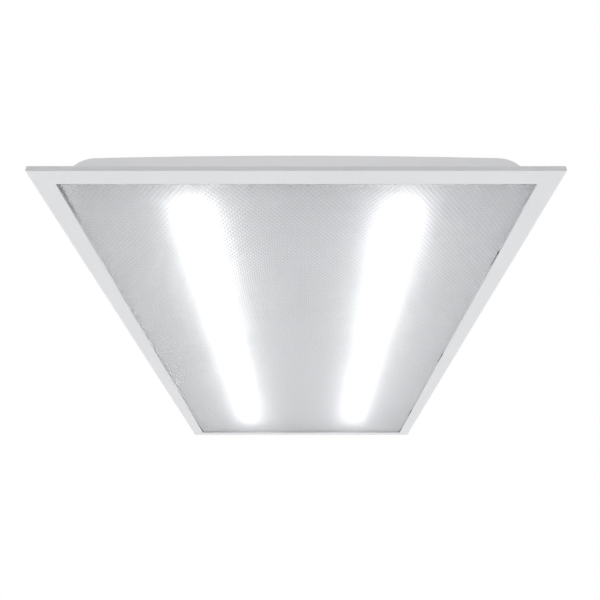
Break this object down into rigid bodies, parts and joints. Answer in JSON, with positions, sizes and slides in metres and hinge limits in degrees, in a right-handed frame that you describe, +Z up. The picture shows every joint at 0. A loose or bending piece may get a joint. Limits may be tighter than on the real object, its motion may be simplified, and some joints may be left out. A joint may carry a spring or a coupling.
{
  "type": "recessed troffer light",
  "caption": "Lay-in troffer with a white steel frame, a low arched housing, LED boards and a prismatic lens door that swings down.",
  "frame": {"origin": "centre of the room-side face of the frame, in the plane that lies on the ceiling grid", "axes": "+Z up into the ceiling, +Y along the length towards the roof access door, +X across the width, away from the lens door hinge"},
  "size_m": [0.603, 1.213, 0.071],
  "materials": {
    "frame_paint": "satin white powder coat on steel",
    "housing_paint": "satin white pre-painted steel sheet",
    "reflector_paint": "matt high-reflectance white paint",
    "galvanised_steel": "zinc-coated sheet with faint spangle",
    "plated_fasteners": "bright zinc plate",
    "ground_green_steel": "green dyed zinc plate",
    "prismatic_acrylic": "clear acrylic with small pyramids on its room side",
    "hinge_nylon": "moulded white nylon",
    "potting_compound": "dark potting round the driver circuit",
    "magnet_ceramic": "sintered ferrite, matt black",
    "board_white": "white solder mask",
    "chip_phosphor": "phosphor under silicone, lit",
    "connector_nylon": "natural white nylon",
    "disconnect_orange": "orange nylon",
    "driver_case_steel": "satin pale grey paint on steel",
    "lead_grey": "PVC sleeve",
    "lead_black": "PVC sleeve",
    "lead_green": "PVC sleeve"
  },
  "bodies": {
    "housing": {"access_hinge_leaf": "housing_paint", "access_hinge_pin": "plated_fasteners", "board_connectors": "connector_nylon", "board_links": "lead_grey", "catch_brackets": "galvanised_steel", "catch_magnets": "magnet_ceramic", "corner_gussets": "galvanised_steel", "disconnect_plug": "disconnect_orange", "disconnect_socket": "disconnect_orange", "driver_case": "driver_case_steel", "driver_circuit": "potting_compound", "driver_terminals": "connector_nylon", "end_panel_far": "housing_paint", "end_panel_near": "housing_paint", "gear_tray_left": "reflector_paint", "gear_tray_right": "reflector_paint", "grid_clips": "galvanised_steel", "ground_lead": "lead_green", "ground_screw": "ground_green_steel", "hanger_ears": "galvanised_steel", "hinge_plate_far": "galvanised_steel", "hinge_plate_near": "galvanised_steel", "led_board_left_far": "board_white", "led_board_left_near": "board_white", "led_board_right_far": "board_white", "led_board_right_near": "board_white", "led_chips": "chip_phosphor", "led_lead_left": "lead_grey", "led_lead_right": "lead_grey", "rim_far": "frame_paint", "rim_left": "frame_paint", "rim_near": "frame_paint", "rim_right": "frame_paint", "rim_rivets": "plated_fasteners", "roof_panel": "housing_paint", "roof_rivets": "plated_fasteners", "roof_screws": "plated_fasteners", "side_panel_left": "housing_paint", "side_panel_right": "housing_paint", "supply_lead": "lead_black", "tray_bridges": "galvanised_steel", "tray_screws": "plated_fasteners", "wireway_cover": "reflector_paint"},
    "lens_door": {"hinge_block_far": "hinge_nylon", "hinge_block_near": "hinge_nylon", "lens": "prismatic_acrylic", "strike_plates": "frame_paint"},
    "hinge_pin_near": {"hinge_pin_near": "plated_fasteners"},
    "hinge_pin_far": {"hinge_pin_far": "plated_fasteners"},
    "access_door": {"access_door": "housing_paint", "access_screw": "plated_fasteners"}
  },
  "joints": [
    {"name": "lens_door_hinge", "type": "hinge", "parent": "housing", "child": "lens_door", "pos_m": [-0.2679, 0, 0.007], "axis": [0, 1, 0], "range_deg": [0, 90]},
    {"name": "hinge_pin_near_slide", "type": "slide", "parent": "lens_door", "child": "hinge_pin_near", "axis": [0, 1, 0], "range_m": [0, 0.007]},
    {"name": "hinge_pin_far_slide", "type": "slide", "parent": "lens_door", "child": "hinge_pin_far", "axis": [0, -1, 0], "range_m": [0, 0.007]},
    {"name": "access_door_hinge", "type": "hinge", "parent": "housing", "child": "access_door", "pos_m": [0, 0.3995, 0.06855], "axis": [1, 0, 0], "range_deg": [0, 105]}
  ]
}
